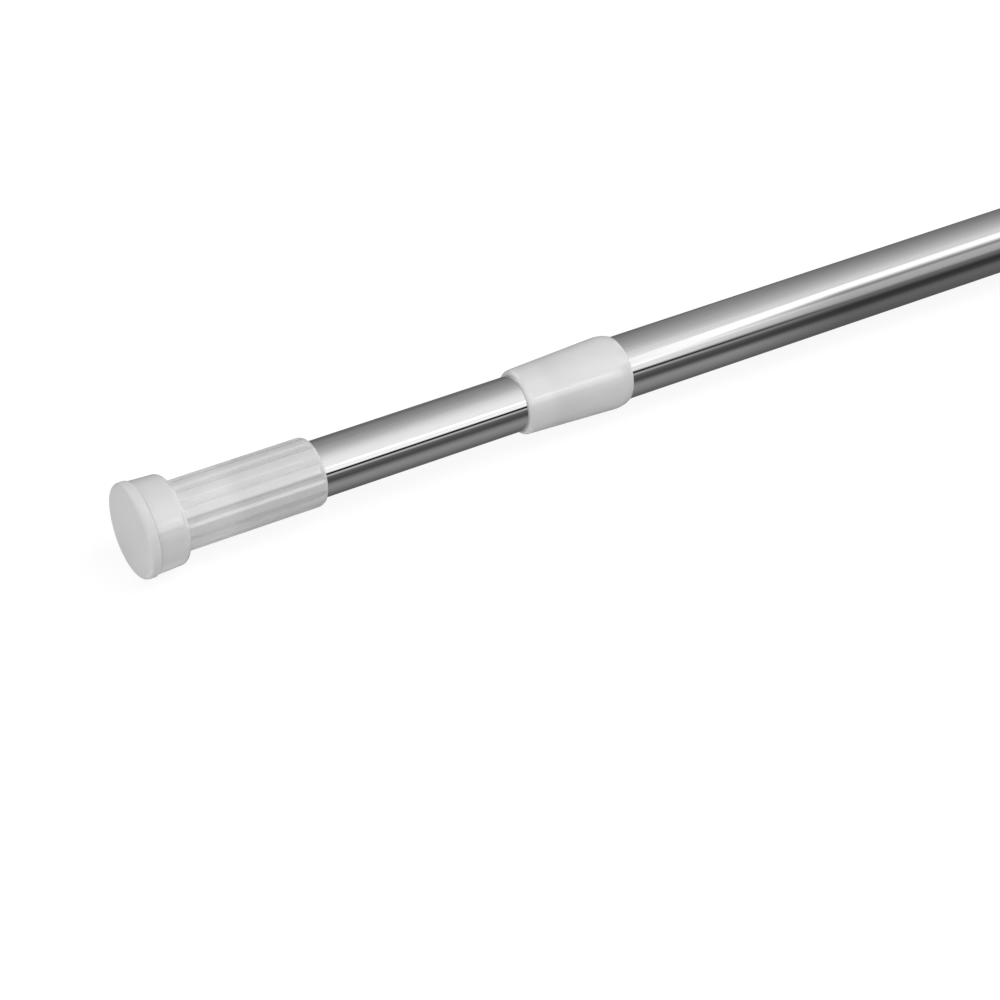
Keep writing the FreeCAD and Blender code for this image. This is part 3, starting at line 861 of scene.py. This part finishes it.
@dataclass
class CompressionSpring:
    """Compression spring inside the inner tube, its ends ground flat."""

    wire: float = 2.0 * MM
    mean_radius: float = 7.6 * MM
    coils: float = 11.0
    stroke: float = 25.0 * MM
    points_per_coil: int = 36
    wire_sides: int = 14

    def recipe(self) -> GeometryRecipe:
        """Returns the tree that coils the wire and grinds its ends."""
        recipe = GeometryRecipe("spring_coiler")
        sheet = recipe.sheet
        start, end = recipe.given("Start"), recipe.given("End")
        wire = recipe.given("Wire Radius")
        mean = recipe.given("Mean Radius")
        span = sheet.math("ADD", sheet.math("SUBTRACT", end, start), sheet.math("MULTIPLY", wire, 2.0))
        spiral = sheet.made("GeometryNodeCurveSpiral", {
            "Resolution": self.points_per_coil,
            "Rotations": recipe.given("Coils"),
            "Start Radius": mean,
            "End Radius": mean,
            "Height": span,
        })
        laid = sheet.made("GeometryNodeTransform", {
            "Geometry": spiral,
            "Translation": sheet.made("ShaderNodeCombineXYZ", {"X": sheet.math("SUBTRACT", start, wire)}),
            "Rotation": (0.0, math.pi / 2, 0.0),
        })
        section = sheet.made("GeometryNodeCurvePrimitiveCircle", {
            "Resolution": self.wire_sides,
            "Radius": wire,
        })
        swept = sheet.made("GeometryNodeCurveToMesh", {
            "Curve": laid,
            "Profile Curve": section,
            "Fill Caps": True,
        })
        point = sheet.made("GeometryNodeInputPosition")
        axes = sheet.node("ShaderNodeSeparateXYZ", {0: point}).outputs
        kept = sheet.math("MINIMUM", sheet.math("MAXIMUM", axes[0], start), end)
        ground = sheet.made("ShaderNodeCombineXYZ", {"X": kept, "Y": axes[1], "Z": axes[2]})
        flat = sheet.made("GeometryNodeSetPosition", {"Geometry": swept, "Position": ground})
        recipe.close(sheet.made("GeometryNodeSetShadeSmooth", {"Geometry": flat}))
        return recipe

    def build(self, shop: Workshop) -> None:
        """Coils the spring and puts it in place, at one fixed length; the real spring shortens towards
        the stop plug.
        """
        low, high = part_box("spring")
        spring = added("wound_spring", bpy.data.meshes.new("wound_spring"))
        self.recipe().bake(spring, {
            "Start": low.x,
            "End": high.x,
            "Wire Radius": self.wire / 2,
            "Mean Radius": self.mean_radius,
            "Coils": self.coils,
        })
        shop.fix(spring, "spring", "inner", Slot.SPRING)
        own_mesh(spring)


@dataclass
class LockWorks:
    """The lock's and the stop's small pieces, whose solids show as they are."""

    slots: Mapping[Slot, Sequence[str]] = field(default_factory=lambda: {
        Slot.NYLON: ("guide_bush", "stop_plug", "expander", "cone_nut"),
        Slot.ZINC: ("bush_rivets", "stop_pin", "spindle", "spring_plate", "plate_clip",
                    "journal_clip", "nut_clip", "thrust_washer"),
        Slot.RUBBER: ("drag_ring",),
    })

    def build(self, shop: Workshop) -> None:
        """Gives each solid its finish."""
        for slot, names in self.slots.items():
            for name in names:
                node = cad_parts[name]
                for place in node.material_slots:
                    place.material = shop.materials[slot]
                LOG.info("%s keeps its solid, in %s", name, slot.value)


@dataclass
class PhotoCamera:
    """Camera at the photograph's viewing angle."""

    azimuth: float = 149.3
    elevation: float = 36.1
    distance: float = 1.1504
    station: float = 0.6207
    rise: float = 0.03468
    lens: float = 109.8
    sensor: float = 36.0

    def build(self) -> None:
        """Places the camera and makes it the scene's own."""
        azimuth, elevation = math.radians(self.azimuth), math.radians(self.elevation)
        level = math.cos(elevation)
        back = Vector((math.sin(azimuth) * level, -math.cos(azimuth) * level, math.sin(elevation)))
        turn = (-back).to_track_quat("-Z", "Y")
        data = bpy.data.cameras.new("photo_camera")
        data.lens = self.lens
        data.sensor_width = self.sensor
        data.clip_end = 100.0
        camera = added("photo_camera", data)
        camera.rotation_mode = "QUATERNION"
        camera.rotation_quaternion = turn
        focus = Vector((self.station, 0.0, 0.0))
        camera.location = focus + back * self.distance - (turn @ Vector((0, 1, 0))) * self.rise
        bpy.context.scene.camera = camera


@dataclass(frozen=True)
class Cloth:
    """The tent's cloth at one station along the rod: how bright it is at angles around the rod."""

    station: float
    lights: Mapping[float, float]

    def glow(self, sheet: NodeSheet, angle: Socket, turn: float) -> Socket:
        """Returns the cloth's light at an angle, when it is turned, both in degrees."""
        share = sheet.ranged(angle, turn - 180.0, turn + 180.0, 0.0, 1.0)
        stops = [((degrees + 180) / 360, (light,) * 3) for degrees, light in self.lights.items()]
        return sheet.ramp(share, stops)


@dataclass(frozen=True)
class Panel:
    """A lamp before the cloth, between two angles around the rod.

    Each pair gives the value at the first station and before it, and at the second and beyond.
    """

    stations: Pair
    low: Pair
    high: Pair
    blur: Pair
    light: Pair

    @classmethod
    def straight(cls, stations: Pair, low: float, high: float, blur: float, light: Pair) -> "Panel":
        """Returns a lamp whose angles and blur stay the same along the rod."""
        return cls(stations, (low, low), (high, high), (blur, blur), light)

    def glow(self, sheet: NodeSheet, angle: Socket, x: Socket) -> Socket:
        """Returns the lamp's light at an angle in degrees and a station."""
        low, high, blur, light = (sheet.ranged(x, *self.stations, *pair)
                                  for pair in (self.low, self.high, self.blur, self.light))
        rise, fall = sheet.edge(angle, low, blur), sheet.edge(angle, high, blur, falls=True)
        return sheet.math("MULTIPLY", light, sheet.math("MULTIPLY", rise, fall))


@dataclass(frozen=True)
class RoundSheet:
    """A glowing sheet that runs along the rod and is bent about its axis, for reflections alone."""

    name: str
    radius: float
    stations: Pair
    angles: Pair
    segments: int

    def material(self, light: Callable[[NodeSheet, Socket, Socket], Socket]) -> Material:
        """Returns a material that glows as a function of the angle in degrees and the station says."""
        material = bpy.data.materials.new(f"{self.name}_glow")
        sheet = NodeSheet.emptied(material)
        axes = sheet.node("ShaderNodeSeparateXYZ", {0: sheet.place()}).outputs
        angle = sheet.math("DEGREES", sheet.math("ARCTAN2", axes[2], axes[1]))
        glow = sheet.made("ShaderNodeEmission", {"Strength": light(sheet, angle, axes[0])})
        sheet.node("ShaderNodeOutputMaterial", {"Surface": glow})
        return material

    def hang(self, light: Callable[[NodeSheet, Socket, Socket], Socket]) -> None:
        """Builds the sheet with that light and hangs it in the studio."""
        low, high = (math.radians(angle) for angle in self.angles)
        turns = [low + (high - low) * side / self.segments for side in range(self.segments + 1)]
        corners = [(x, self.radius * math.cos(turn), self.radius * math.sin(turn))
                   for turn in turns for x in self.stations]
        faces = [(2 * side, 2 * side + 1, 2 * side + 3, 2 * side + 2) for side in range(self.segments)]
        mesh = bpy.data.meshes.new(self.name)
        mesh.from_pydata(corners, [], faces)
        mesh.materials.append(self.material(light))
        sheet = added(self.name, mesh)
        for rays in ("camera", "diffuse", "transmission", "volume_scatter", "shadow"):
            setattr(sheet, f"visible_{rays}", False)


@dataclass
class LightTent:
    """Long tent of pale and dark cloth around the rod, that only reflections show.

    Going towards the outer end, the cloth fades from near to middle and from there to far. Its
    pattern turns a little up to the middle one. A softbox and a faint strip stand before it on the
    photograph's side, a pale sheet lies below, towards the inner end, and a lamp and a pale sheet
    stand behind the rod, beyond both its ends.
    """

    radius: float = 1.5
    reach: float = 4.0
    segments: int = 96
    drift: float = 4.0
    near: Cloth = Cloth(-0.14, {
        -180: 0.15, -140: 0.15, -105: 0.11, -89: 0.15, -57: 0.25, -45: 0.25, -33: 0.17, -25: 0.08,
        -19: 0.07, -6: 0.11, -3: 0.16, 0: 0.46, 3: 0.46, 5: 0.12, 6.5: 0.0, 11: 0.0, 12: 0.2, 14: 0.93,
        17: 1.03, 20: 0.98, 24: 0.93, 30: 0.92, 42: 0.9, 50: 0.88, 66: 0.79, 78: 0.68, 90: 0.54,
        106: 0.4, 130: 0.29, 158: 0.22, 174: 0.15,
    })
    middle: Cloth = Cloth(-0.32, {
        -180: 0.17, -105: 0.11, -89: 0.15, -57: 0.24, -48: 0.26, -41: 0.23, -35.5: 0.16, -30: 0.085,
        -24: 0.057, -16: 0.067, -11.5: 0.083, -7: 0.12, -4: 0.24, 0.5: 0.24, 2.5: 0.08, 4: 0.02,
        6: 0.04, 8.5: 0.17, 10.5: 0.33, 12.5: 0.5, 14.5: 0.58, 20.5: 0.63, 24.5: 0.66, 30: 0.72,
        38: 0.78, 66: 0.76, 78: 0.69, 90: 0.55, 106: 0.43, 130: 0.32, 158: 0.24,
    })
    far: Cloth = Cloth(-0.45, {
        -180: 0.18, -105: 0.09, -81: 0.11, -57: 0.13, -45: 0.12, -37: 0.08, -29: 0.045, -15: 0.03,
        -5: 0.09, -1: 0.14, 3: 0.12, 8: 0.22, 13: 0.38, 31: 0.44, 38: 0.24, 66: 0.7, 78: 0.7, 90: 0.57,
        106: 0.45, 122: 0.35, 150: 0.24, 180: 0.18,
    })
    softbox: Panel = Panel((-0.1, -0.45), low=(14, 47), high=(60, 71), blur=(4, 12), light=(0.85, 1.3))
    strip: Panel = Panel.straight((-0.3, -0.5), low=28, high=34, blur=3, light=(0.16, 0))
    below: Panel = Panel.straight((0.14, 0.2), low=-122, high=-76, blur=6, light=(0, 0.55))
    behind: tuple[Panel, ...] = tuple(
        Panel.straight(stations, low, high, blur, (0, light))
        for low, high, blur, light in ((118, 160, 5, 1.05), (-150, -118, 8, 0.4))
        for stations in ((0.5, 0.8), (-0.8, -1.1))
    )

    def cloth(self, sheet: NodeSheet, angle: Socket, x: Socket) -> Socket:
        """Returns the cloth's light at an angle in degrees and a station."""
        drift = sheet.ranged(x, self.near.station, self.middle.station, 0.0, self.drift)
        turned_angle = sheet.math("ADD", angle, drift)
        light = self.near.glow(sheet, turned_angle, 0.0)
        for before, after in ((self.near, self.middle), (self.middle, self.far)):
            light = sheet.made("ShaderNodeMix", {
                0: sheet.ranged(x, before.station, after.station, 0.0, 1.0),
                2: light,
                3: after.glow(sheet, turned_angle, self.drift),
            })
        return light

    def light(self, sheet: NodeSheet, angle: Socket, x: Socket) -> Socket:
        """Returns the light of the cloth and the lamps at an angle in degrees and a station."""
        light = self.cloth(sheet, angle, x)
        for panel in (self.softbox, self.below, *self.behind):
            light = sheet.math("MAXIMUM", light, panel.glow(sheet, angle, x))
        return sheet.math("ADD", light, self.strip.glow(sheet, angle, x))

    def build(self) -> None:
        """Hangs the tent around the rod's middle."""
        middle = (CAD_BOX[0].x + CAD_BOX[1].x) / 2
        stations = (middle - self.reach, middle + self.reach)
        RoundSheet("light_tent", self.radius, stations, (0.0, 360.0), self.segments).hang(self.light)


@dataclass(frozen=True)
class Highlight:
    """A strip inside the tent with a bright line along it, which is the highlight on the collar."""

    radius: float = 1.45
    stations: Pair = (-0.12, 0.115)
    angles: Pair = (25.0, 37.0)
    segments: int = 6
    cloth: float = 0.92
    line: Panel = Panel.straight((-0.1, 0), low=29.5, high=32.5, blur=2, light=(0.3, 3.2))

    def light(self, sheet: NodeSheet, angle: Socket, x: Socket) -> Socket:
        """Returns the light of the strip and its line at an angle in degrees and a station."""
        return sheet.math("ADD", self.line.glow(sheet, angle, x), self.cloth)

    def build(self) -> None:
        """Hangs the strip."""
        strip = RoundSheet("highlight_strip", self.radius, self.stations, self.angles, self.segments)
        strip.hang(self.light)


@dataclass(frozen=True)
class Softbox:
    """A soft lamp: which way it stands from what it lights, how far, how large and how bright.

    A share of 1 lights a white surface that faces it to about full white.
    """

    name: str
    aim: Vector
    towards: Vector
    distance: float
    size: Pair
    share: float

    def build(self) -> None:
        """Hangs the lamp, out of the camera's and the reflections' sight."""
        data = bpy.data.lights.new(self.name, "AREA")
        data.shape = "RECTANGLE"
        data.size, data.size_y = self.size
        data.energy = self.share * math.pi ** 2 * self.distance ** 2
        lamp = added(self.name, data)
        way = self.towards.normalized()
        lamp.location = self.aim + way * self.distance
        lamp.rotation_mode = "QUATERNION"
        lamp.rotation_quaternion = way.to_track_quat("Z", "Y")
        lamp.visible_camera = False
        lamp.visible_glossy = False


@dataclass
class Studio:
    """Pale floor, soft lamps and a white world."""

    floor_reach: float = 12.0
    floor_colour: float = 0.8
    floor_seen: float = 0.14
    floor_glow: float = 0.9
    ambient: float = 0.33

    def by_sight(self, sheet: NodeSheet, lighting: Socket, seen: Socket) -> Socket:
        """Mixes two shaders: one for light that falls on the rod, and one that is seen.

        Camera, glossy and transmission rays see the second.
        """
        rays = sheet.node("ShaderNodeLightPath").outputs
        sight = sheet.math("MAXIMUM", rays["Is Camera Ray"], rays["Is Glossy Ray"])
        sight = sheet.math("MAXIMUM", sight, rays["Is Transmission Ray"])
        return sheet.made("ShaderNodeMixShader", {0: sight, 1: lighting, 2: seen})

    def world(self) -> None:
        """Makes the world: white where it is seen, and a soft grey as light."""
        world = bpy.data.worlds.new("studio_world")
        sheet = NodeSheet.emptied(world)
        soft, white = (sheet.made("ShaderNodeBackground", {"Color": (1, 1, 1, 1), "Strength": strength})
                       for strength in (self.ambient, 1.0))
        sheet.node("ShaderNodeOutputWorld", {"Surface": self.by_sight(sheet, soft, white)})
        bpy.context.scene.world = world

    def floor(self) -> None:
        """Lays the floor under the feet, white where it is seen, with the rod's soft shadow."""
        material = bpy.data.materials.new("pale_floor")
        sheet = NodeSheet.emptied(material)
        cloth, shaded = (sheet.made("ShaderNodeBsdfDiffuse", {"Color": (grey, grey, grey, 1)})
                         for grey in (self.floor_colour, self.floor_seen))
        glow = sheet.made("ShaderNodeEmission", {"Strength": self.floor_glow})
        seen = sheet.made("ShaderNodeAddShader", {0: shaded, 1: glow})
        sheet.node("ShaderNodeOutputMaterial", {"Surface": self.by_sight(sheet, cloth, seen)})
        height = CAD_BOX[0].z
        corners = [(x * self.floor_reach, y * self.floor_reach, height)
                   for x, y in ((-1, -1), (1, -1), (1, 1), (-1, 1))]
        mesh = bpy.data.meshes.new("pale_floor")
        mesh.from_pydata(corners, [], [(0, 1, 2, 3)])
        mesh.materials.append(material)
        floor = added("pale_floor", mesh)
        floor.visible_glossy = False

    def lamps(self) -> tuple[Softbox, Softbox]:
        """Returns the key light above the rod, and a fill light off the inner foot."""
        middle = (CAD_BOX[0] + CAD_BOX[1]) / 2
        foot = Vector((CAD_BOX[1].x, 0.0, 0.0))
        key = Softbox("key_softbox", middle, towards=Vector((-0.3, 0.3, 1.0)), distance=1.6,
                      size=(1.8, 1.1), share=0.88)
        fill = Softbox("fill_softbox", foot, towards=Vector((1.0, 0.1, 0.06)), distance=2.5,
                       size=(2.1, 2.1), share=0.66)
        return key, fill

    def build(self) -> None:
        """Sets up the studio."""
        self.world()
        self.floor()
        for lamp in self.lamps():
            lamp.build()
        bpy.context.scene.view_settings.view_transform = "Standard"


def main() -> None:
    """Builds the rod's pieces in order, then the camera and the studio."""
    logging.basicConfig(level=logging.INFO, format="%(message)s")
    shop = Workshop()
    outer_end = RodEnd("outer", CAD_BOX[0].x, 1)
    inner_end = RodEnd("inner", CAD_BOX[1].x, -1)
    outer_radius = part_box("outer_tube")[1].z
    inner_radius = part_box("inner_tube")[1].z
    cutter = FluteCutter()
    RodTube("outer", wall=0.6 * MM).build(shop)
    RodTube("inner", wall=0.5 * MM).build(shop)
    TaperedCollar().build(shop)
    EndCap(outer_end, outer_radius, turn=math.radians(7.0)).build(shop, cutter)
    EndCap(inner_end, inner_radius, turn=math.radians(22.0)).build(shop, cutter)
    FootPad(outer_end).build(shop)
    FootPad(inner_end).build(shop)
    CompressionSpring().build(shop)
    LockWorks().build(shop)
    PhotoCamera().build()
    LightTent().build()
    Highlight().build()
    Studio().build()


if __name__ == "__main__":
    main()
